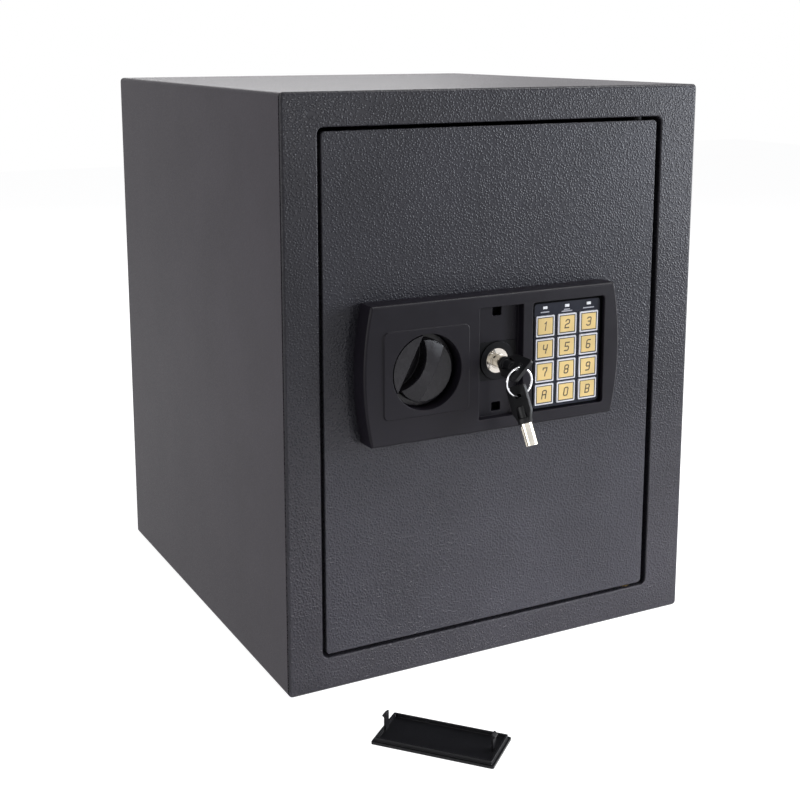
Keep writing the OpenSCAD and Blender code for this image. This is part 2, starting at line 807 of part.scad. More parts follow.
// Spiral cam: its radius straight above the axis grows evenly as the plug turns clockwise
module lock_cam() {
    edge = [for (a = [-32:10:208])
        let (share = (a - 90 - cam_lead) / (90 - cam_lead), r = cam_r0 + cam_rise * min(max(share, 0), 1))
        [r * cos(a), r * sin(a)]];
    color("#9a9aa0") difference() {
        along_y(cam_y, cam_y + cam_t) translate([lock_x, lock_z]) polygon(edge);
        rod_y(lock_x, lock_z, cam_y - 1, cam_y + cam_t + 1, plug_r + fit);
    }
}

module solenoid() {
    half = solenoid_w / 2;
    coil_r = plunger_y - door_back - 0.3;
    color("#8c5a2e") difference() {
        union() {
            for (x = [-half, half - 1.5])
                block(plunger_x + x, plunger_x + x + 1.5, door_back, 2 * plunger_y - door_back,
                      solenoid_z, solenoid_z + solenoid_h);
            for (z = [0, solenoid_h - 1.5])
                block(plunger_x - half, plunger_x + half, door_back, 2 * plunger_y - door_back,
                      solenoid_z + z, solenoid_z + z + 1.5);
            translate([plunger_x, plunger_y, solenoid_z + 1]) cylinder(h = solenoid_h - 2, r = coil_r);
        }
        translate([plunger_x, plunger_y, solenoid_z - 1]) cylinder(h = solenoid_h - 4, r = plunger_r + fit);
    }
}

module plunger() {
    arm_z = panel_z + cam_r0 + cam_gap;
    color("#c4c4ca") {
        translate([plunger_x, plunger_y, plunger_z]) cylinder(h = solenoid_z - plunger_z + 18, r = plunger_r);
        translate([plunger_x, plunger_y, collar_z]) cylinder(h = collar_t, r = plunger_r + 2);
        block(plunger_x - 3, plunger_x + 3, plunger_y, cam_y + cam_t, collar_z - 3, collar_z + collar_t);
        difference() {
            block(plunger_x - 3, lock_x + 2, cam_y + 0.2, cam_y + cam_t, arm_z, collar_z + collar_t);
            block(plunger_x + 5, lock_x - 2, cam_y - 1, cam_y + cam_t + 1, arm_z - 1, arm_z + 2.5);
        }
    }
}

module plunger_spring() {
    turns = 5;
    wire = 0.5;
    coil = plunger_r + 1.2;
    low = collar_z + collar_t + wire + 0.1;
    rise = spring_l - 2 * wire - 0.2;
    path = [for (i = [0:turns * 8]) let (a = 45 * i)
        [plunger_x + coil * cos(a), plunger_y + coil * sin(a), low + rise * i / (turns * 8)]];
    color("#d0d0d6") sweep(path, wire, 6);
}

module knob_turned() {
    translate([knob_x, 0, panel_z]) rotate([0, knob_lean, 0]) children();
}

// Body disc and grip, hollowed on one side for the finger, with a thumb rest level with the panel
module knob() {
    color("#2e2c34") knob_turned() difference() {
        union() {
            difference() {
                union() {
                    rod_y(0, 0, panel_front + knob_step, knob_back, knob_r);
                    intersection() {
                        rod_y(0, 0, knob_front, knob_back, knob_r);
                        rod_x(knob_front + grip_arch, 0, -knob_r - 1, knob_r + 1, grip_arch);
                        along_y(knob_front - 1, knob_back)
                            polygon([[-knob_r - 1, -knob_r - 1], [grip_edge, -knob_r - 1],
                                     [grip_edge, knob_r + 1], [-knob_r - 1, knob_r + 1]]);
                    }
                }
                rod_y(-grip_waist - hollow_r, 0, knob_front - 2, knob_base_front, hollow_r);
            }
            rod_y(0, 0, knob_base_front, knob_back, knob_base_r);
            intersection() {
                rod_y(0, 0, knob_front, knob_back, knob_base_r);
                translate([0, 0, -knob_recess_r]) linear_extrude(2 * knob_recess_r) polygon([
                    [-knob_recess_r - 1, knob_front - 1], [-segment_edge, knob_front - 1],
                    [-segment_edge + 4.5, knob_base_front + 0.5], [-knob_recess_r - 1, knob_base_front + 0.5]]);
            }
        }
        rod_y(0, 0, knob_base_front - 2, knob_back + 1, spindle_r - 2);
    }
}

module knob_spindle() {
    end = crank_y + crank_t + 2;
    color("#9a9aa0") {
        rod_y(knob_x, panel_z, knob_base_front - 2, knob_back, spindle_r - 2);
        rod_y(knob_x, panel_z, knob_back, crank_y - 0.2, spindle_r);
        block(knob_x - spindle_square / 2, knob_x + spindle_square / 2, crank_y - 0.2, end,
              panel_z - spindle_square / 2, panel_z + spindle_square / 2);
    }
}

module crank_lever() {
    hole = spindle_square + 2 * fit;
    color("#77777c") difference() {
        union() {
            translate([knob_x, 0, panel_z]) rotate([0, crank_turn, 0]) {
                along_y(crank_y, crank_y + crank_t) hull() {
                    circle(r = spindle_r + 4, $fn = 32);
                    translate([0, crank_r]) circle(r = crank_pin_r + 2, $fn = 32);
                }
                rod_y(0, crank_r, carriage_y - 0.4, crank_y + 1, crank_pin_r);
            }
        }
        block(knob_x - hole / 2, knob_x + hole / 2, crank_y - 1, crank_y + crank_t + 1,
              panel_z - hole / 2, panel_z + hole / 2);
    }
}

// Plate with slots for the spindle, the crank's pin and the studs, and a flange that carries the bolts
module bolt_carriage() {
    pin_x = knob_x + bolt_travel / 2;
    pin_low = crank_r * cos(crank_turn);
    slot = crank_pin_r + 0.4;
    spin = spindle_r + 0.6;
    color("#8f8f96") difference() {
        union() {
            along_y(carriage_y, carriage_y + carriage_t) polygon([
                [carriage_x, panel_z - web_z], [web_x1, panel_z - web_z], [web_x1, panel_z - 20],
                [tongue_mid_x, panel_z - 16], [tongue_mid_x, panel_z - 8], [tongue_x1, panel_z - 8],
                [tongue_x1, panel_z + tongue_top], [tongue_mid_x, panel_z + tongue_top],
                [tongue_mid_x, panel_z + 24], [web_x1, panel_z + 28],
                [web_x1, panel_z + web_z], [carriage_x, panel_z + web_z]]);
            block(carriage_x, carriage_x + carriage_t, carriage_y, bolt_y + bolt_r + 1,
                  panel_z - web_z, panel_z + web_z);
        }
        along_y(carriage_y - 1, carriage_y + carriage_t + 1) {
            translate([knob_x - spin, panel_z - spin]) square([bolt_travel + 2 * spin, 2 * spin]);
            translate([pin_x - slot, panel_z + pin_low - slot - 0.3])
                square([2 * slot, crank_r - pin_low + 2 * slot + 0.6]);
            for (z = [-1, 1]) translate([stud_x - stud_r - 0.3, panel_z + z * stud_z - stud_r - 0.2])
                square([bolt_travel + 2 * stud_r + 0.6, 2 * stud_r + 0.4]);
        }
        each_bolt() rod_x(bolt_y, 0, carriage_x - 1, carriage_x + carriage_t + 1, 4);
    }
}

module locking_bolts() {
    color("#c9cbd0") each_bolt() {
        rod_x(bolt_y, 0, bolt_end + 1, carriage_x, bolt_r);
        translate([bolt_end, bolt_y, 0]) rotate([0, 90, 0]) cylinder(h = 1, r1 = bolt_r - 1, r2 = bolt_r);
        rod_x(bolt_y, 0, carriage_x, carriage_x + carriage_t, 4 - fit);
        rod_x(bolt_y, 0, carriage_x + carriage_t, carriage_x + carriage_t + 2, 6);
    }
}

module carriage_studs() {
    head_y = carriage_y + carriage_t + seat;
    color("#b9b9be") for (z = [-1, 1]) {
        rod_y(stud_x, panel_z + z * stud_z, door_back, head_y, stud_r);
        rod_y(stud_x, panel_z + z * stud_z, head_y, head_y + 1.7, stud_r + 3);
    }
}

// Key in its own frame: the ring's hole at the origin, the head's end up, the tube down
module key_place(spare) {
    if (spare) translate([ring_x, ring_y, ring_top - 2 * ring_r])
        rotate([0, 0, -78]) rotate([0, -spare_lean, 0]) children();
    else translate([ring_x, ring_y, ring_top]) rotate([0, -45, 0]) rotate([90, 0, 0]) children();
}

module key_shank_solid() {
    translate([-key_hole_side, 0, -key_tip]) {
        difference() {
            cylinder(h = key_tube_l, r = key_tube_r);
            translate([0, 0, -1]) cylinder(h = key_tube_l - 2, r = key_bore_r);
            for (side = [-1, 1]) translate([-key_groove_w / 2, side * key_tube_r - key_groove_t, -1])
                cube([key_groove_w, 2 * key_groove_t, key_tube_l - 1]);
        }
        translate([0, 0, key_tube_l]) cylinder(h = key_tang_l, r = key_tang_r);
    }
}

module key_head_solid() {
    low = -key_head_l + key_hole_back;
    end = key_head_w / 2;
    neck = key_tube_r + 0.7;
    difference() {
        union() {
            translate([-key_hole_side, key_head_t / 2, 0]) rotate([90, 0, 0]) linear_extrude(key_head_t)
                polygon(concat([[-neck, low], [neck, low], [end, low + key_shoulder]],
                               arc(end - key_corner, key_hole_back - key_corner, key_corner, 0, 90, 4),
                               arc(-end + key_corner, key_hole_back - key_corner, key_corner, 90, 180, 4),
                               [[-end, low + key_shoulder]]));
            translate([-key_hole_side, 0, low]) cylinder(h = key_tang_l + 1, r = key_tang_r + 1.2);
            translate([-key_hole_side, 0, low]) cylinder(h = 4, r = neck);
        }
        translate([-key_hole_side, 0, low - 1]) cylinder(h = key_tang_l + 1.1, r = key_tang_r + fit);
        translate([0, key_head_t, 0]) rotate([90, 0, 0]) linear_extrude(2 * key_head_t)
            polygon(rounded(key_hole_w, 2 * (ring_wire_r + key_hole_gap), ring_wire_r + 0.4));
    }
}

module key_shank() { color("#d2c9b4") key_place(false) key_shank_solid(); }

module key_head() { color("#1b1b1e") key_place(false) key_head_solid(); }

module spare_key_shank() { color("#d8d8dc") key_place(true) key_shank_solid(); }

module spare_key_head() { color("#1b1b1e") key_place(true) key_head_solid(); }

module key_ring() {
    color("#d8d8dc") translate([ring_x, ring_y, ring_top - ring_r]) rotate([90, 0, 0])
        rotate_extrude() translate([ring_r, 0]) circle(r = ring_wire_r, $fn = 16);
}

module battery_box() {
    w = box_in_w + 2 * box_wall;
    h = box_in_h + 2 * box_wall;
    color("#222226") difference() {
        block(box_x - w / 2, box_x + w / 2, box_floor - box_wall, box_rim, box_z - h / 2, box_z + h / 2);
        block(box_x - box_in_w / 2, box_x + box_in_w / 2, box_floor, box_rim + 1,
              box_z - box_in_h / 2, box_z + box_in_h / 2);
    }
}

module battery_cells() {
    color("#c9a13b") for (i = [0:3]) {
        x = box_x + (i - 1.5) * cell_pitch;
        y = box_floor + cell_r + 0.2;
        translate([x, y, box_z - cell_l / 2]) cylinder(h = cell_l - 1.5, r = cell_r);
        translate([x, y, box_z + cell_l / 2 - 1.5]) cylinder(h = 1.5, r = 2.6);
    }
}

module battery_cover() {
    w = hatch_w + 8;
    h = hatch_h + 8;
    y0 = case_back + 0.2;
    color("#2a2a2e") difference() {
        union() {
            plate_y(box_x, box_z, w, h, 3, y0, y0 + cover_plate_t);
            block(box_x - hatch_w / 2 + 0.4, box_x + hatch_w / 2 - 0.4, case_back - case_t, y0,
                  box_z - hatch_h / 2 + 0.4, box_z + hatch_h / 2 - 0.4);
        }
        block(box_x - hatch_w / 2 + 1.9, box_x + hatch_w / 2 - 1.9, case_back - case_t - 1, y0,
              box_z - hatch_h / 2 + 1.9, box_z + hatch_h / 2 - 1.9);
        for (i = [-2:2])
            block(box_x - 10, box_x + 10, y0 + cover_plate_t - 0.6, y0 + cover_plate_t + 1,
                  box_z + h / 2 - 14 + i * 2.4, box_z + h / 2 - 13 + i * 2.4);
    }
}

module reset_switch() {
    y1 = case_back - case_t - 3 - reset_travel;
    color("#222226") {
        block(reset_x - reset_half, reset_x + reset_half, y1 - 8, y1,
              reset_z - reset_half, reset_z + reset_half);
        for (z = [reset_z - 5, reset_z + 5])
            block(reset_x - 4, reset_x + 4, y1, case_back - case_t, z - 0.9, z + 0.9);
    }
}

module reset_button() {
    y1 = case_back - case_t - 3 - reset_travel;
    color("#c0271f") rod_y(reset_x, reset_z, y1 + reset_travel + 0.3, case_back + 1, reset_r - 0.3);
}

// Rubber ring that lines the cable's hole in the door plate
module cable_grommet() {
    color("#17171a") difference() {
        union() {
            rod_y(cable_x, cable_z, front + 0.2, door_back, grommet_r - fit);
            rod_y(cable_x, cable_z, door_back, door_back + 1.5, grommet_r + 2);
        }
        rod_y(cable_x, cable_z, front - 1, door_back + 2, 5);
    }
}

// Three leads run from the board's plug through the grommet: to the cells, the solenoid and the switch
module wiring() {
    plug_y = board_front + board_t + board_plug_d;
    turn = door_back + 2.5;
    out = door_back + 8;
    side_z = cable_z + lead_rise;
    cells_z = box_z + box_in_h / 2;
    coil_z = solenoid_z + solenoid_h;
    switch_y = case_back - case_t - 8 - reset_travel;
    color("#a02822") {
        sweep([[cable_x, plug_y, cable_z], [cable_x, turn, cable_z], [cable_x, out, cable_z - 8],
               [cable_x - 4, out, cells_z + 12], [box_x, box_floor - 9, cells_z - 4],
               [box_x, box_floor - 6, cells_z - 8], [box_x, box_floor - box_wall - lead_gap, cells_z - 8]],
              wire_r);
        sweep([[cable_x - lead_side, plug_y, side_z], [cable_x - lead_side, turn, side_z],
               [cable_x - 4, out, cable_z + 5], [cable_x - 6, out + 4, cable_z + 12],
               [cable_x - 12, out + 6, coil_z + 10], [plunger_x + 16, out + 2, coil_z + 10],
               [plunger_x, plunger_y, coil_z + 6], [plunger_x, plunger_y, coil_z + lead_gap]],
              wire_r);
        sweep([[cable_x + lead_side, plug_y, side_z], [cable_x + lead_side, turn, side_z],
               [cable_x + 4, out, cable_z + 5], [cable_x + 8, out + 6, cable_z + 16],
               [reset_x, switch_y - 9, reset_z - 20], [reset_x, switch_y, reset_z - 13],
               [reset_x, switch_y, reset_z - reset_half - lead_gap]],
              wire_r);
    }
}

module cover_place() {
    translate([cover_x, front - cover_y, 0]) rotate([0, 0, cover_turn]) children();
}

// Snap clip: an upright tongue with a hook on its outer side
module cover_clip(w) {
    rotate([90, 0, 0]) translate([0, 0, -w / 2]) linear_extrude(w)
        polygon([[0, cover_t - 0.5], [1.6, cover_t - 0.5], [1.6, hook_z], [2.9, hook_z + 0.6],
                 [2.9, hook_z + 1.6], [0.9, hook_z + 3.1], [0, hook_z + 3.1]]);
}

// The cover lies with its outer face on the floor; its length runs along its own X
module lock_cover() {
    top_clip = -(top_slot_z + top_slot_h / 2) + 2.3;
    bottom_clip = -(bottom_slot_z - bottom_slot_h / 2) - 2.3;
    color("#3a3942") cover_place() {
        difference() {
            union() {
                linear_extrude(cover_t) polygon(rounded(cover_w, cover_h, 1.5));
                translate([0, 0, cover_t - 0.5]) linear_extrude(cover_rim + 0.5)
                    polygon(rounded(rim_w, rim_h, 1));
            }
            translate([0, 0, cover_t]) linear_extrude(cover_rim + 1)
                polygon(rounded(rim_w - 2 * rim_t, rim_h - 2 * rim_t, 0.5));
            translate([-rim_w / 2 - 1, -clip_slot_w / 2, cover_t])
                cube([rim_t + 1.5, clip_slot_w, cover_rim + 1]);
        }
        translate([top_clip, 0, 0]) mirror([1, 0, 0]) cover_clip(clip_slot_w - 1.4);
        translate([bottom_clip, 0, 0]) cover_clip(clip_slot_w - 1.4);
    }
}

cabinet_shell();
back_panel();
front_frame();
hinge_bushes();
bolt_keeper();
shelf_ledges();
floor_mat();
shelf();
door_plate();
hinge_brackets();
hinge_pins();
lock_case();
case_screws();
panel_housing();
panel_screws();
keypad_plate();
lamp_windows();
circuit_board();
lock_collar();
lock_body();
lock_nut();
solenoid();
carriage_studs();
battery_box();
battery_cells();
wiring();
cable_grommet();
reset_switch();
knob();
knob_spindle();
crank_lever();
bolt_carriage();
locking_bolts();
plunger();
plunger_spring();
lock_plug();
lock_cam();
key_shank();
key_head();
key_ring();
spare_key_shank();
spare_key_head();
battery_cover();
reset_button();
lock_cover();
for (i = [0:11]) keypad_button(i);
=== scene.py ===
import math

import bpy
from mathutils import Matrix, Vector


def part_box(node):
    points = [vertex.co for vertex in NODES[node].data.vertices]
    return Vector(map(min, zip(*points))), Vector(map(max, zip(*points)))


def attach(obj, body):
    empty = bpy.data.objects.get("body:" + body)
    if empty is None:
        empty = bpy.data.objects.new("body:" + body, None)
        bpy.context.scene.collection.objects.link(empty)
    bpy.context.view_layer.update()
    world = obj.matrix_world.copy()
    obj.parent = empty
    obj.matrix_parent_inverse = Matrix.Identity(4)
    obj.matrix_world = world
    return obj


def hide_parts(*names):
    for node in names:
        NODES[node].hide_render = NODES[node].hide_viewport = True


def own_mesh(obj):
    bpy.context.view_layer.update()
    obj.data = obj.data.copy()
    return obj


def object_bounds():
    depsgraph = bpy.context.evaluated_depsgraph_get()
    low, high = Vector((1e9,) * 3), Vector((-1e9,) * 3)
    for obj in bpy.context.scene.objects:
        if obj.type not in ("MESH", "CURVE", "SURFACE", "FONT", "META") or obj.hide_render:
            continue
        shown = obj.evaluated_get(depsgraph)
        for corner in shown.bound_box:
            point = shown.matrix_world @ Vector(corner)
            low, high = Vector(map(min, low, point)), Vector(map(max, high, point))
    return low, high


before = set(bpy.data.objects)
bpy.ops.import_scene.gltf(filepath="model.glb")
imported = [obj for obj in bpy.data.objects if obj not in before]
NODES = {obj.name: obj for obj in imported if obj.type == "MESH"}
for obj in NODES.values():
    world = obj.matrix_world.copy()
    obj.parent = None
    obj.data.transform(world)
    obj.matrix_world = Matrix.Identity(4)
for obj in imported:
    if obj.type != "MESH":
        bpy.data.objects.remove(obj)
CAD_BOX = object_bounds()
MM = 0.001
PER_METRE = 1000        # millimetres in a metre

# Sizes of the finish, in millimetres
KEY_FRAME = 1.25        # silver frame round each key
KEY_LINE = 0.7          # dark line of painted shade in the groove inside the frame
KEY_CORNER = 0.8
DIGIT_H = 6.3
DIGIT_W = 3.4
DIGIT_STROKE = 1.0
WINDOW_SIZE = (67.2, 86.7)  # the keypad's window
BORDER_WIDTHS = (3.5, 2.2, 2.2, 1.3)  # black band inside it, partly print and partly painted shade: left, right, top, bottom
BORDER_CORNER = 2.4
BORDER_SLACK = 0.05     # gap between the band and the window
BORDER_PROUD = 0.12
PRINT_PROUD = 0.03      # how far print stands out of its surface
PRINT_SUNK = 0.02       # how far its edge goes into the surface
MARK_HALF_HEIGHT = 0.45

# Shares and counts
DIGIT_SLANT = 0.16      # lean to the right for each unit of height
MITRE_LEAST = 0.5       # keeps a stroke's sharpest corners from growing spikes
CORNER_STEPS = 5        # steps round each corner of a rounded loop

# Softened edges of the CAD nodes
WELD_DISTANCE = 2e-6    # metres
FLAT_ANGLE = 0.4        # degrees, below which neighbouring faces count as one
SHARP_ANGLE = 38        # degrees, above which an edge is rounded
BEVEL_SEGMENTS = 2
NORMAL_WEIGHT = 80

# Paint, sleeves and rubber
GRAIN_SOFTNESS = 0.4
GLOSS_FADE = (0.02, 0.25)  # depth below a grain's top over which its gloss goes
GRAIN_SIDE = (0.05, 0.3)   # depth over which its side falls
SLEEVE_SPLIT = 0.68     # share of a battery's height where its colour starts
SLEEVE_BLUR = 0.0002    # metres
RIB_PITCH = 12          # millimetres

# Floor and world
FLOOR_REACH = 4.0       # metres
FLOOR_INSET = 0.006     # metres from the cabinet's sides to the unlit patch
FLOOR_GREY = (0.4, 0.4, 0.4)
FLOOR_GLOW = 0.92
ROOM_COLOR = (0.95, 0.96, 1.0, 1)
ROOM_STRENGTH = 0.15

# The photograph's view
CAMERA_PLACE = (-0.5363, -1.0443, 0.48595)
CAMERA_TURN = 27.71     # degrees towards the hinge side
CAMERA_TILT = 10.738    # degrees down
LENS = 59.596
SENSOR = 36
SHIFT_Y = -0.1375       # 110 of 800 pixels


# Shader helpers

def new_material(name, color, roughness, metallic=0.0, **sockets):
    material = bpy.data.materials.new(name)
    material.use_nodes = True
    shader = shader_of(material)
    shader.inputs["Base Color"].default_value = (*color, 1)
    shader.inputs["Roughness"].default_value = roughness
    shader.inputs["Metallic"].default_value = metallic
    for socket, value in sockets.items():
        shader.inputs[socket.replace("_", " ")].default_value = value
    return material


def add_node(material, kind, inputs=None, **settings):
    node = material.node_tree.nodes.new("ShaderNode" + kind)
    for key, value in settings.items():
        setattr(node, key, value)
    for key, value in (inputs or {}).items():
        if hasattr(value, "is_output"):
            material.node_tree.links.new(value, node.inputs[key])
        else:
            node.inputs[key].default_value = value
    return node


def shader_of(material):
    return material.node_tree.nodes["Principled BSDF"]


def link(material, output, socket):
    material.node_tree.links.new(output, shader_of(material).inputs[socket])


def place(material, stretch=(1, 1, 1)):
    """The point's place on the object, in metres, stretched along the axes."""
    coords = add_node(material, "TexCoord").outputs["Object"]
    return add_node(material, "Mapping", {"Vector": coords, "Scale": stretch}).outputs["Vector"]


def noise(material, size_mm, detail, rough=0.5, stretch=(1, 1, 1)):
    """Noise whose features are about size_mm across."""
    inputs = {"Vector": place(material, stretch), "Scale": PER_METRE / size_mm, "Detail": detail,
              "Roughness": rough}
    return add_node(material, "TexNoise", inputs).outputs["Fac"]


def domes(material, size_mm):
    """Rounded grains about size_mm across, as depth below their tops."""
    inputs = {"Vector": place(material), "Scale": PER_METRE / size_mm,
              "Smoothness": GRAIN_SOFTNESS}
    far = add_node(material, "TexVoronoi", inputs, feature="SMOOTH_F1").outputs["Distance"]
    return add_node(material, "Math", {0: far, 1: far}, operation="MULTIPLY").outputs["Value"]


def spread(material, value, low, high, start=0.35, end=0.65):
    """Maps a texture's range from start to end, its middle if not given, onto low to high."""
    inputs = {"Value": value, "From Min": start, "From Max": end, "To Min": low, "To Max": high}
    return add_node(material, "MapRange", inputs).outputs["Result"]


def blend_colors(material, factor, first, second):
    inputs = {"Factor": factor, "A": (*first, 1), "B": (*second, 1)}
    return add_node(material, "Mix", inputs, data_type="RGBA").outputs["Result"]


def cloudy_color(material, size_mm, detail, first, second):
    """Lets the base colour drift between two colours, in clouds about size_mm across."""
    clouds = spread(material, noise(material, size_mm, detail), 0, 1)
    link(material, blend_colors(material, clouds, first, second), "Base Color")


def add_bump(material, height, depth_mm, strength=1.0, under=None, invert=False):
    inputs = {"Height": height, "Strength": strength, "Distance": depth_mm * MM}
    if under is not None:
        inputs["Normal"] = under
    normal = add_node(material, "Bump", inputs, invert=invert).outputs["Normal"]
    link(material, normal, "Normal")
    return normal


def shade(color, factor):
    return tuple(c * factor for c in color)


# Materials, one for each slot of the record. Sizes and depths are in millimetres.

def powder_coat(name, color, grain=1.8, depth=0.17, rough=(0.17, 0.36), level=0.17, mottle=0.1):
    """Stove paint: flat-topped glossy grains with steep sides, on a slightly uneven coat."""
    paint = new_material(name, color, sum(rough) / 2, Specular_IOR_Level=level)
    cloudy_color(paint, 60, 3, shade(color, 1 - mottle), shade(color, 1 + mottle))
    grains = domes(paint, grain)
    link(paint, spread(paint, grains, *rough, *GLOSS_FADE), "Roughness")
    under = add_bump(paint, noise(paint, grain * 5, 1), depth * 0.8, 0.7)
    under = add_bump(paint, noise(paint, grain * 0.6, 2), depth * 0.4, 0.8, under)
    add_bump(paint, spread(paint, grains, 0, 1, *GRAIN_SIDE), depth, 1.0, under, True)
    return paint


def moulded_plastic(name, color, roughness=0.42, grain=0.35, depth=0.02, variation=0.08,
                    **sockets):
    """Moulded plastic with a fine eroded surface and faint flow marks."""
    plastic = new_material(name, color, roughness, **sockets)
    cloudy_color(plastic, 35, 2, shade(color, 1 - variation), shade(color, 1 + variation))
    gloss = spread(plastic, noise(plastic, 8, 3), roughness - 0.04, roughness + 0.05)
    link(plastic, gloss, "Roughness")
    add_bump(plastic, noise(plastic, grain, 2), depth, 0.8)
    return plastic


def plated_steel(name, color, roughness, brushed=(1, 1, 1), depth=0.01, stain=0.15):
    """Metal with brush marks along one axis and a slightly cloudy plating."""
    steel = new_material(name, color, roughness, 1.0)
    cloudy_color(steel, 12, 3, shade(color, 1 - stain), color)
    marks = noise(steel, 0.8, 4, 0.6, brushed)
    gloss = spread(steel, marks, max(roughness - 0.06, 0.03), roughness + 0.08)
    link(steel, gloss, "Roughness")
    add_bump(steel, marks, depth, 0.6)
    return steel


def ribbed_rubber(name, color):
    """Rubber matting with ribs along Y and a little dust."""
    rubber = new_material(name, color, 0.8)
    ribs = add_node(rubber, "TexWave", {"Vector": place(rubber), "Scale": PER_METRE / RIB_PITCH},
                    bands_direction="X", wave_profile="SIN").outputs["Fac"]
    cloudy_color(rubber, 20, 4, shade(color, 0.8), shade(color, 1.5))
    under = add_bump(rubber, noise(rubber, 0.6, 2), 0.03, 0.7)
    add_bump(rubber, ribs, 0.5, 0.8, under)
    return rubber


def cell_sleeve(name, color):
    """Battery sleeve: a coloured end and a dark body, printed plain."""
    sleeve = new_material(name, color, 0.25, 0.3, Coat_Weight=0.5, Coat_Roughness=0.1)
    low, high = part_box("battery_cells")
    edge = low.z + SLEEVE_SPLIT * (high.z - low.z)
    height = add_node(sleeve, "SeparateXYZ", {"Vector": place(sleeve)}).outputs["Z"]
    mask = spread(sleeve, height, 0, 1, edge - SLEEVE_BLUR, edge + SLEEVE_BLUR)
    link(sleeve, blend_colors(sleeve, mask, (0.02, 0.02, 0.022), color), "Base Color")
    add_bump(sleeve, noise(sleeve, 2, 2), 0.01, 0.5)
    return sleeve


def circuit_laminate(name, color):
    """Circuit board with a lacquer coat and a plain pattern of tracks."""
    board = new_material(name, color, 0.3, Coat_Weight=0.4, Coat_Roughness=0.15)
    inputs = {"Vector": place(board), "Scale": 160.0, "Mortar Size": 0.03, "Color1": (*color, 1),
              "Color2": (*shade(color, 0.85), 1), "Mortar": (*shade(color, 2.2), 1)}
    tracks = add_node(board, "TexBrick", inputs)
    link(board, tracks.outputs["Color"], "Base Color")
    add_bump(board, tracks.outputs["Fac"], 0.03, 0.5)
    return board


MATERIALS = {
    "body_paint": powder_coat("body_paint", (0.029, 0.028, 0.034)),
    "door_paint": powder_coat("door_paint", (0.03, 0.0295, 0.0365)),
    "panel_plastic": moulded_plastic("panel_plastic", (0.0083, 0.0071, 0.0107), 0.4,
                                     Specular_IOR_Level=0.13),
    "knob_plastic": moulded_plastic("knob_plastic", (0.0095, 0.0085, 0.0115), 0.26, 0.5, 0.012,
                                    Specular_IOR_Level=0.25),
    "keypad_plastic": moulded_plastic("keypad_plastic", (0.005, 0.0064, 0.0155), 0.34, 0.6, 0.008,
                                      Specular_IOR_Level=0.18),
    "button_plastic": moulded_plastic("button_plastic", (0.76, 0.55, 0.216), 0.35, 1.2, 0.012,
                                      0.1),
    "lamp_plastic": moulded_plastic("lamp_plastic", (0.93, 0.93, 0.95), 0.25, 0.8, 0.01, 0.02),
    "collar_plastic": moulded_plastic("collar_plastic", (0.004, 0.004, 0.005), 0.4,
                                      Specular_IOR_Level=0.1),
    "key_plastic": moulded_plastic("key_plastic", (0.006, 0.006, 0.007), 0.42, 0.5, 0.02,
                                   Specular_IOR_Level=0.25),
    "black_plastic": moulded_plastic("black_plastic", (0.012, 0.012, 0.014), 0.38, 0.5, 0.02),
    "reset_plastic": moulded_plastic("reset_plastic", (0.55, 0.03, 0.02), 0.3),
    "board_laminate": circuit_laminate("board_laminate", (0.02, 0.13, 0.05)),
    "wire_sleeve": moulded_plastic("wire_sleeve", (0.5, 0.03, 0.02), 0.35),
    "lock_chrome": plated_steel("lock_chrome", (0.62, 0.58, 0.53), 0.1, depth=0.003, stain=0.15),
    "key_steel": plated_steel("key_steel", (0.76, 0.72, 0.64), 0.16, (1, 0.12, 1), 0.006),
    "ring_steel": plated_steel("ring_steel", (0.82, 0.82, 0.85), 0.1, depth=0.003, stain=0.05),
    "zinc_steel": plated_steel("zinc_steel", (0.55, 0.55, 0.56), 0.36, (0.2, 1, 1), 0.012, 0.3),
    "bolt_steel": plated_steel("bolt_steel", (0.7, 0.71, 0.73), 0.18, (0.05, 1, 1), 0.008),
    "bush_brass": plated_steel("bush_brass", (0.65, 0.44, 0.17), 0.28, (1, 1, 0.1), 0.01),
    "coil_copper": plated_steel("coil_copper", (0.45, 0.19, 0.07), 0.32, (1, 1, 8), 0.05),
    "cell_wrap": cell_sleeve("cell_wrap", (0.62, 0.36, 0.07)),
    "mat_rubber": ribbed_rubber("mat_rubber", (0.02, 0.02, 0.022)),
    "grommet_rubber": moulded_plastic("grommet_rubber", (0.012, 0.012, 0.013), 0.7),
}

# Further finishes, of new pieces and of nodes that differ from their slot's
KEY_SILVER = moulded_plastic("key_frame_silver", (0.72, 0.71, 0.74), 0.3, 1.0, 0.01, 0.06)
# Painted shade: near black, for the groove between each key's silver frame and its cream face
KEY_PAINTED_SHADE = moulded_plastic("key_line_dark", (0.02, 0.018, 0.015), 0.5)
KEY_INK = moulded_plastic("key_ink_brown", (0.07, 0.042, 0.012), 0.45)
LABEL_INK = moulded_plastic("label_ink_grey", (0.36, 0.36, 0.4), 0.45)
# Partly a printed border and partly painted shade of the window's recessed edge: near black with
# almost no gloss
WINDOW_PRINT_AND_SHADE = moulded_plastic("window_print_and_shade", (0.001, 0.001, 0.0015), 0.6,
                               Specular_IOR_Level=0.02)
COVER_BLACK = moulded_plastic("cover_black", (0.004, 0.004, 0.005), 0.36, Specular_IOR_Level=0.2)
SHELL_PAINT = powder_coat("body_paint_shell", (0.054, 0.048, 0.058), 1.0, 0.03, (0.3, 0.4), 0.05,
                          0.05)
shader_of(SHELL_PAINT).inputs["Specular Tint"].default_value = (1, 0.965, 0.99, 1)
HINGE_STEEL = plated_steel("hinge_dark_steel", (0.018, 0.018, 0.019), 0.55, (1, 1, 0.2), 0.01, 0.3)
NODE_MATERIALS = {
    "cabinet_shell": SHELL_PAINT, "back_panel": SHELL_PAINT, "shelf": SHELL_PAINT,
    "shelf_ledges": SHELL_PAINT, "lock_cover": COVER_BLACK, "hinge_pins": HINGE_STEEL,
    "hinge_brackets": HINGE_STEEL,
}


# Finish of the CAD nodes

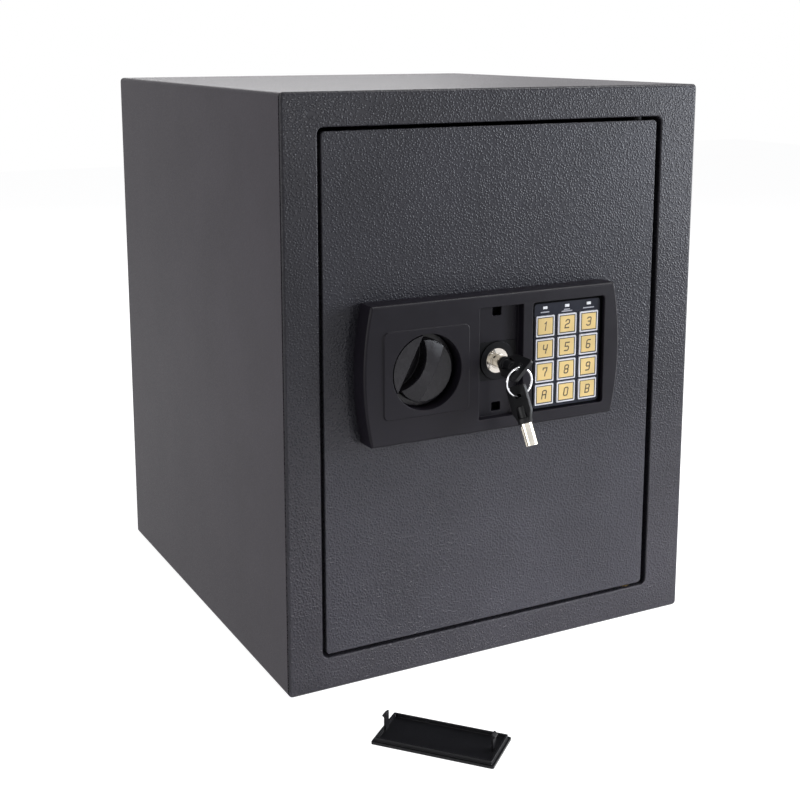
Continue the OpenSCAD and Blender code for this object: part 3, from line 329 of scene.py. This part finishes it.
def soften(node, width_mm):
    """Rounds a CAD node's sharp edges with modifiers, and leaves its mesh as it is."""
    obj = NODES[node]
    weld = obj.modifiers.new("weld", "WELD")
    weld.merge_threshold = WELD_DISTANCE
    flat = obj.modifiers.new("flat", "DECIMATE")
    flat.decimate_type = "DISSOLVE"
    flat.angle_limit = math.radians(FLAT_ANGLE)
    bevel = obj.modifiers.new("bevel", "BEVEL")
    bevel.width = width_mm * MM
    bevel.segments = BEVEL_SEGMENTS
    bevel.limit_method = "ANGLE"
    bevel.angle_limit = math.radians(SHARP_ANGLE)
    bevel.use_clamp_overlap = False
    bevel.miter_outer = "MITER_ARC"
    bevel.harden_normals = False
    normals = obj.modifiers.new("normals", "WEIGHTED_NORMAL")
    normals.keep_sharp = False
    normals.weight = NORMAL_WEIGHT


# Width of each node's bevel, in millimetres
SOFT_NODES = {
    "front_frame": 1.3, "door_plate": 0.9, "cabinet_shell": 0.5, "back_panel": 0.4, "shelf": 0.4,
    "lock_case": 0.4, "panel_housing": 0.6, "keypad_plate": 0.12, "lock_collar": 0.4,
    "lock_body": 0.25, "lock_plug": 0.2, "knob": 0.5, "key_head": 0.45, "spare_key_head": 0.45,
    "key_shank": 0.2, "spare_key_shank": 0.2, "lock_cover": 0.3, "battery_cover": 0.3,
    "lamp_windows": 0.15, "bolt_keeper": 0.4, "hinge_brackets": 0.5, "case_screws": 0.3,
    "locking_bolts": 0.3, "reset_button": 0.2, "floor_mat": 0.5, "hinge_bushes": 0.2,
}

for node, obj in NODES.items():
    slot = obj.material_slots[0].material.name.split(".")[0]
    obj.material_slots[0].material = NODE_MATERIALS.get(node, MATERIALS[slot])
for node, width in SOFT_NODES.items():
    soften(node, width)


# Mesh helpers, in millimetres in the frame's axes

def mesh_object(name, points, faces, materials, indices=None):
    mesh = bpy.data.meshes.new(name)
    mesh.from_pydata([Vector(p) * MM for p in points], [], faces)
    for material in materials:
        mesh.materials.append(material)
    if indices:
        mesh.polygons.foreach_set("material_index", indices)
    mesh.validate()
    mesh.update()
    obj = bpy.data.objects.new(name, mesh)
    bpy.context.scene.collection.objects.link(obj)
    return obj


def rounded_loop(width, height, radius):
    points = []
    for sx, sz, start in ((1, 1, 0), (-1, 1, 90), (-1, -1, 180), (1, -1, 270)):
        for k in range(CORNER_STEPS + 1):
            a = math.radians(start + 90 * k / CORNER_STEPS)
            points.append((sx * (width / 2 - radius) + radius * math.cos(a),
                           sz * (height / 2 - radius) + radius * math.sin(a)))
    return points


def ribbon(path, width):
    """Left and right edges of a flat stroke along a path, with mitred corners."""
    path = [Vector(point) for point in path]
    ways = [(b - a).normalized() for a, b in zip(path, path[1:])]
    edges = []
    for i, point in enumerate(path):
        near = ways[max(i - 1, 0):i + 1]
        way = sum(near, Vector((0, 0))).normalized()
        side = Vector((-way.y, way.x))
        turn = abs(side.dot(Vector((-near[0].y, near[0].x))))
        reach = width / 2 / max(turn, MITRE_LEAST)
        if i == 0:
            point = point - way * width / 2
        if i == len(path) - 1:
            point = point + way * width / 2
        edges.append((point + side * reach, point - side * reach))
    return edges


def tube_faces(steps, sides):
    """Faces of a closed-ended tube whose points come as steps + 1 rings of sides each."""
    faces = [list(range(sides))[::-1], [steps * sides + k for k in range(sides)]]
    for i in range(steps):
        for k in range(sides):
            p, q = i * sides + k, i * sides + (k + 1) % sides
            faces.append([p, q, q + sides, p + sides])
    return faces


def smooth_faces(obj):
    for face in obj.data.polygons:
        face.use_smooth = True


KEY_LABELS = "123456789A0B"  # in the order of the keypad's buttons

# Strokes of each character, 0 to 1 across and 0 to 2 up, with its corners cut
CUT = 0.22
STROKES = {
    "1": [[(0.3, 1.66), (0.62, 2), (0.62, 0)]],
    "2": [[(0, 1.7), (CUT, 2), (1 - CUT, 2), (1, 2 - CUT), (1, 1.2), (0.8, 1), (0.2, 0.86),
           (0, 0.62), (0, 0), (1, 0)]],
    "3": [[(0, 1.8), (CUT, 2), (1 - CUT, 2), (1, 2 - CUT), (1, 1.2), (0.8, 1), (1, 0.8), (1, CUT),
           (1 - CUT, 0), (CUT, 0), (0, 0.2)],
          [(0.35, 1), (0.75, 1)]],
    "4": [[(0, 2), (0, 1.15), (0.18, 0.95), (0.8, 0.95)],
          [(1, 2), (1, 1.15), (0.8, 0.6), (0.8, 0)]],
    "5": [[(1, 2), (0, 2), (0, 1.05), (1 - CUT, 1.05), (1, 1 - CUT), (1, CUT), (1 - CUT, 0),
           (0, 0)]],
    "6": [[(0.9, 2), (CUT, 2), (0, 2 - CUT), (0, CUT), (CUT, 0), (1 - CUT, 0), (1, CUT),
           (1, 1 - CUT), (1 - CUT, 1), (0.2, 1)]],
    "7": [[(0, 1.62), (0, 2), (1, 2), (1, 1.3), (0.7, 0.7), (0.7, 0)]],
    "8": [[(CUT, 1), (0, 1 + CUT), (0, 2 - CUT), (CUT, 2), (1 - CUT, 2), (1, 2 - CUT),
           (1, 1 + CUT), (1 - CUT, 1), (1, 1 - CUT), (1, CUT), (1 - CUT, 0), (CUT, 0), (0, CUT),
           (0, 1 - CUT), (CUT, 1), (1 - CUT, 1)]],
    "9": [[(0.1, 0), (1 - CUT, 0), (1, CUT), (1, 2 - CUT), (1 - CUT, 2), (CUT, 2), (0, 2 - CUT),
           (0, 1 + CUT), (CUT, 1), (0.8, 1)]],
    "0": [[(0, CUT), (0, 2 - CUT), (CUT, 2), (1 - CUT, 2), (1, 2 - CUT), (1, CUT), (1 - CUT, 0),
           (CUT, 0), (0, CUT), (0, 1)]],
    "A": [[(0, 0), (0, 2 - CUT), (CUT, 2), (1 - CUT, 2), (1, 2 - CUT), (1, 0)],
          [(0.2, 0.95), (0.8, 0.95)]],
    "B": [[(0, 0), (0, 2), (1 - CUT, 2), (1, 2 - CUT), (1, 1 + CUT), (1 - CUT, 1), (1, 1 - CUT),
           (1, CUT), (1 - CUT, 0), (0, 0)],
          [(0.2, 1), (0.7, 1)]],
}


def stroke_mesh(path, middle, front, start):
    """Points and faces of one printed stroke on a key's face; start is its first point's number."""
    half = DIGIT_H / 2
    line = [((x - 0.5) * DIGIT_W + (y - 1) * half * DIGIT_SLANT, (y - 1) * half) for x, y in path]
    points, faces = [], []
    for pair in ribbon(line, DIGIT_STROKE):
        for edge in pair:
            points.append((middle.x + edge.x, front - PRINT_PROUD, middle.z + edge.y))
            points.append((middle.x + edge.x, front + PRINT_SUNK, middle.z + edge.y))
    for k in range(len(line) - 1):
        a = start + 4 * k
        b = a + 4
        faces += [[a, b, b + 2, a + 2], [a + 1, b + 1, b, a], [a + 2, b + 2, b + 3, a + 3]]
    last = start + 4 * (len(line) - 1)
    faces += [[start, start + 2, start + 3, start + 1], [last + 1, last + 3, last + 2, last]]
    return points, faces


def keypad_key(number, label):
    """A key with a silver frame, a dark line of painted shade in the groove inside it, a cream face
    and its character.
    """
    low, high = (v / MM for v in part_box(f"keypad_button_{number}"))
    middle = (low + high) / 2
    width, height = high.x - low.x, high.z - low.z
    front, back = low.y, high.y
    inner = KEY_FRAME + KEY_LINE
    silver, shadow, cream, ink = range(4)
    rings = [  # distance from the key's edge, depth, and material of the strip that ends there
        (0, back, silver), (0, front + 0.25, silver), (0.12, front + 0.06, silver),
        (0.3, front + 0.02, silver), (KEY_FRAME - 0.12, front + 0.02, silver),
        # the strips that lie in the groove are near black: painted shade
        (KEY_FRAME, front + 0.1, shadow), (KEY_FRAME + 0.1, front + 0.3, shadow),
        (inner - 0.08, front + 0.3, shadow), (inner, front + 0.12, cream),
        (inner + 0.12, front + 0.03, cream), (inner + 0.6, front, cream),
    ]
    points = []
    for inset, depth, _ in rings:
        corner = max(KEY_CORNER - 0.35 * inset, 0.25)
        loop = rounded_loop(width - 2 * inset, height - 2 * inset, corner)
        points += [(middle.x + x, depth, middle.z + z) for x, z in loop]
    size = len(loop)
    faces, indices = [list(range(size))], [silver]
    for r in range(1, len(rings)):
        for k in range(size):
            a, b = (r - 1) * size + k, (r - 1) * size + (k + 1) % size
            faces.append([b, a, a + size, b + size])
            indices.append(rings[r][2])
    faces.append(list(range((len(rings) - 1) * size, len(rings) * size))[::-1])
    indices.append(cream)
    for path in STROKES[label]:
        more_points, more_faces = stroke_mesh(path, middle, front, len(points))
        points += more_points
        faces += more_faces
        indices += [ink] * len(more_faces)
    key = mesh_object(f"keypad_key_{number}", points, faces,
                      [KEY_SILVER, KEY_PAINTED_SHADE, MATERIALS["button_plastic"], KEY_INK], indices)
    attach(key, f"keypad_button_{number}")
    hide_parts(f"keypad_button_{number}")


def lamp_marks():
    """A plain bar under each lamp, in the place of the printed words."""
    low, _ = (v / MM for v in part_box("lamp_windows"))
    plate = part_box("keypad_plate")[0].y / MM
    keys = [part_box(f"keypad_button_{n}") for n in (1, 2, 3)]
    middles = [(a.x + b.x) / 2 / MM for a, b in keys]
    points, faces = [], []
    # Each bar's middle, length, and drop below the lamps
    bars = [(middles[0], 8.0, 2.4), (middles[1], 5.6, 1.9), (middles[1], 10.0, 3.3),
            (middles[2], 10.4, 2.4)]
    for x, length, drop in bars:
        start = len(points)
        for dy in (-PRINT_PROUD, PRINT_SUNK):
            for dx, dz in ((-1, -1), (1, -1), (1, 1), (-1, 1)):
                points.append((x + dx * length / 2, plate + dy,
                               low.z - drop + dz * MARK_HALF_HEIGHT))
        faces.append([start, start + 1, start + 2, start + 3])
        for k in range(4):
            a, b = start + k, start + (k + 1) % 4
            faces.append([a, a + 4, b + 4, b])
    marks = mesh_object("lamp_marks", points, faces, [LABEL_INK])
    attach(marks, "door")


def window_border():
    """The black band round the keypad, partly a printed border and partly painted shade of the
    window's recessed edge, wide where the window's edge hides part of it.
    """
    low, high = (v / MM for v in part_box("keypad_plate"))
    middle = (low + high) / 2
    points, faces = [], []
    # How far across the band each loop lies, and its place in depth
    for share, dy in ((0, PRINT_SUNK), (0, -BORDER_PROUD), (0.96, -BORDER_PROUD), (1, PRINT_SUNK)):
        left, right, top, bottom = (BORDER_SLACK + share * w for w in BORDER_WIDTHS)
        loop = rounded_loop(WINDOW_SIZE[0] - left - right, WINDOW_SIZE[1] - top - bottom,
                            BORDER_CORNER)
        points += [(middle.x + x + (left - right) / 2, low.y + dy,
                    middle.z + z + (bottom - top) / 2) for x, z in loop]
    size = len(loop)
    for a in range(len(points)):
        b = a - a % size + (a + 1) % size
        faces.append([b, a, (a + size) % len(points), (b + size) % len(points)])
    border = mesh_object("window_border", points, faces, [WINDOW_PRINT_AND_SHADE])
    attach(border, "door")


def plunger_coil():
    """The plunger's spring, as a coil of fixed length that rides with the plunger; the real spring
    gets shorter as the plunger rises towards the solenoid.
    """
    box_low, box_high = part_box("plunger_spring")
    low, high = box_low / MM, box_high / MM
    middle = (low + high) / 2
    wire, turns, steps, sides = 0.48, 5, 120, 8
    radius = (high.x - low.x) / 2 - wire
    points = []
    for i in range(steps + 1):
        a = 2 * math.pi * turns * i / steps
        z = low.z + wire + (high.z - low.z - 2 * wire) * i / steps
        for k in range(sides):
            b = 2 * math.pi * k / sides
            r = radius + wire * math.cos(b)
            points.append((middle.x + r * math.cos(a), middle.y + r * math.sin(a),
                           z + wire * math.sin(b)))
    coil = mesh_object("plunger_coil", points, tube_faces(steps, sides), [MATERIALS["bolt_steel"]])
    smooth_faces(coil)
    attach(coil, "plunger")
    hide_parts("plunger_spring")
    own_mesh(coil)


def split_ring():
    """The key ring as a split ring: almost two turns of half-round wire side by side."""
    low, high = (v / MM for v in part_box("key_ring"))
    middle = (low + high) / 2
    wire = (high.y - low.y) / 2
    radius = (high.x - low.x) / 2 - wire
    steps, sides, turns = 160, 10, 1.94
    first_end = math.radians(200)
    crossing = 0.09  # turns over which the wire steps from one side to the other
    across, along = 0.92, 0.97  # the wire's section as shares of the room that it has
    points = []
    for i in range(steps + 1):
        turn = turns * i / steps
        a = 2 * math.pi * turn + first_end
        shift = wire / 2 * max(-1, min(1, (turn - turns / 2) / crossing))
        for k in range(sides):
            b = 2 * math.pi * k / sides
            r = radius + wire * across * math.cos(b)
            points.append((middle.x + r * math.cos(a),
                           middle.y + shift + wire / 2 * along * math.sin(b),
                           middle.z + r * math.sin(a)))
    ring = mesh_object("split_ring", points, tube_faces(steps, sides), [MATERIALS["ring_steel"]])
    smooth_faces(ring)
    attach(ring, "ring")
    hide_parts("key_ring")


for number, label in enumerate(KEY_LABELS, 1):
    keypad_key(number, label)
lamp_marks()
window_border()
plunger_coil()
split_ring()


# Floor, light and camera

def light_path_mask(tree):
    """1 for rays that should see the plain white background."""
    path = tree.nodes.new("ShaderNodeLightPath")
    total = path.outputs["Is Camera Ray"]
    for output in ("Is Glossy Ray", "Is Transmission Ray"):
        step = tree.nodes.new("ShaderNodeMath")
        step.operation = "MAXIMUM"
        tree.links.new(total, step.inputs[0])
        tree.links.new(path.outputs[output], step.inputs[1])
        total = step.outputs[0]
    return total


def floor_material():
    """White to the camera and to reflections, grey to the light, and shadowed in both."""
    material = bpy.data.materials.new("floor_white")
    material.use_nodes = True
    tree = material.node_tree
    tree.nodes.clear()
    plain = tree.nodes.new("ShaderNodeBsdfDiffuse")
    plain.inputs["Color"].default_value = (*FLOOR_GREY, 1)
    glow = tree.nodes.new("ShaderNodeEmission")
    glow.inputs["Strength"].default_value = FLOOR_GLOW
    both = tree.nodes.new("ShaderNodeAddShader")
    mix = tree.nodes.new("ShaderNodeMixShader")
    out = tree.nodes.new("ShaderNodeOutputMaterial")
    tree.links.new(plain.outputs[0], both.inputs[0])
    tree.links.new(glow.outputs[0], both.inputs[1])
    tree.links.new(light_path_mask(tree), mix.inputs[0])
    tree.links.new(plain.outputs[0], mix.inputs[1])
    tree.links.new(both.outputs[0], mix.inputs[2])
    tree.links.new(mix.outputs[0], out.inputs["Surface"])
    return material


def white_floor():
    """A white floor, with a plain unlit patch under the cabinet that is seen through its holes."""
    low, high = CAD_BOX
    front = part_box("front_frame")[0].y + FLOOR_INSET
    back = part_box("back_panel")[1].y - FLOOR_INSET
    xs = [-FLOOR_REACH, low[0] + FLOOR_INSET, high[0] - FLOOR_INSET, FLOOR_REACH]
    ys = [-FLOOR_REACH, front, back, FLOOR_REACH]
    corners = [4 * j + i for j in range(3) for i in range(3)]
    mesh = bpy.data.meshes.new("floor")
    mesh.from_pydata([(x, y, 0) for y in ys for x in xs], [],
                     [[c, c + 1, c + 5, c + 4] for c in corners])
    mesh.polygons[4].material_index = 1
    mesh.materials.append(floor_material())
    mesh.materials.append(new_material("floor_under", FLOOR_GREY, 0.9))
    floor = bpy.data.objects.new("floor", mesh)
    bpy.context.scene.collection.objects.link(floor)


def studio_world():
    """An even grey room for soft light, and plain white behind the object."""
    world = bpy.data.worlds.new("studio")
    bpy.context.scene.world = world
    world.use_nodes = True
    tree = world.node_tree
    tree.nodes.clear()
    room = tree.nodes.new("ShaderNodeBackground")
    room.inputs["Color"].default_value = ROOM_COLOR
    room.inputs["Strength"].default_value = ROOM_STRENGTH
    seen = tree.nodes.new("ShaderNodeBackground")
    seen.inputs["Color"].default_value = (1, 1, 1, 1)
    mix = tree.nodes.new("ShaderNodeMixShader")
    out = tree.nodes.new("ShaderNodeOutputWorld")
    tree.links.new(light_path_mask(tree), mix.inputs[0])
    tree.links.new(room.outputs[0], mix.inputs[1])
    tree.links.new(seen.outputs[0], mix.inputs[2])
    tree.links.new(mix.outputs[0], out.inputs["Surface"])


def softbox(name, position, target, size, watts, color=(1, 1, 1), spread_deg=180):
    """A rectangular lamp that the camera doesn't see."""
    lamp = bpy.data.lights.new(name, "AREA")
    lamp.shape = "RECTANGLE"
    lamp.size, lamp.size_y = size
    lamp.energy = watts
    lamp.color = color
    lamp.spread = math.radians(spread_deg)
    obj = bpy.data.objects.new(name, lamp)
    bpy.context.scene.collection.objects.link(obj)
    obj.location = position
    obj.visible_camera = False
    aim = Vector(target) - Vector(position)
    obj.rotation_euler = aim.to_track_quat("-Z", "Y").to_euler()


def photo_camera():
    """The photograph's view: raised a little, seeing the latch side, with the frame shifted."""
    data = bpy.data.cameras.new("camera")
    data.lens = LENS
    data.sensor_width = SENSOR
    data.shift_y = SHIFT_Y
    camera = bpy.data.objects.new("camera", data)
    bpy.context.scene.collection.objects.link(camera)
    turn = Matrix.Rotation(math.radians(-CAMERA_TURN), 4, "Z")
    tilt = Matrix.Rotation(math.radians(90 - CAMERA_TILT), 4, "X")
    camera.matrix_world = Matrix.Translation(CAMERA_PLACE) @ (turn @ tilt)
    bpy.context.scene.camera = camera


white_floor()
studio_world()
# Each lamp's place, aim and size in metres, its watts, and its colour and spread if not plain
softbox("key_right", (0.85, -0.75, 0.43), (0.1, -0.2, 0.27), (0.3, 0.5), 8.6, (0.87, 0.92, 1.0))
softbox("low_front", (0.38, -1.22, 0.06), (0.1, -0.2, -0.01), (0.7, 0.1), 0.7, (1.0, 0.98, 1.0), 28)
softbox("sparkle", (0.4, -1.6, 0.4), (-0.15, -0.2, 0.4), (0.16, 0.16), 2.2)
softbox("side_left", (-1.4, -0.3, 0.5), (-0.2, 0.0, 0.2), (1.0, 1.0), 8.5)
softbox("behind", (0.5, 1.6, 1.45), (0, 0.2, 0.22), (1.0, 1.0), 15)
softbox("edge_right", (1.0, -0.42, 0.26), (0.0, -0.2, 0.24), (0.3, 0.5), 4)
softbox("top_fill", (0.8, -0.35, 1.5), (0, -0.05, 0.4), (0.6, 0.6), 12)
photo_camera()
bpy.context.scene.view_settings.view_transform = "Standard"
